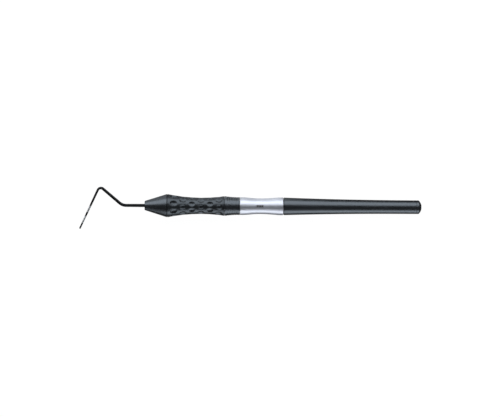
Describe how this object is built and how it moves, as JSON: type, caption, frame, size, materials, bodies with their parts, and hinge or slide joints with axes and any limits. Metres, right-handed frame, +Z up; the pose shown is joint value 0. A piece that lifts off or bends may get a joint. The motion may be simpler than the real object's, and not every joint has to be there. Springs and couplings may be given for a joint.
{
  "type": "periodontal probe",
  "caption": "Slim hand instrument with a bent, banded measuring tip, dimpled grip, bright waisted sleeve and tapered rear handle.",
  "frame": {"origin": "centre of the small flat on the domed rear end of the handle", "axes": "+X along the handle's axis, out of its rear end, so the working end lies towards -X; the working end is bent in the XY plane, with its elbow towards +Y and its tip towards -Y; +Z up as it lies on a table"},
  "size_m": [0.1487, 0.0183, 0.01],
  "materials": {
    "black_coated_steel": "satin black hard coating with two bare steel bands near the tip",
    "black_polymer": "satin, faint turning lines",
    "black_grip_polymer": "satin, fine moulded texture",
    "satin_steel": "brushed round the axis",
    "brass": "turned",
    "seal_rubber": "moulded"
  },
  "bodies": {
    "root": {"probe_working_end": "black_coated_steel", "nose_cone": "black_polymer", "dimpled_grip": "black_grip_polymer", "grip_collar": "black_polymer", "waist_sleeve": "satin_steel", "rear_handle": "black_polymer", "end_plug": "black_polymer", "spindle": "satin_steel", "handle_insert": "brass", "nose_seal": "seal_rubber", "waist_front_seal": "seal_rubber", "waist_rear_seal": "seal_rubber", "plug_seal": "seal_rubber"}
  },
  "joints": []
}
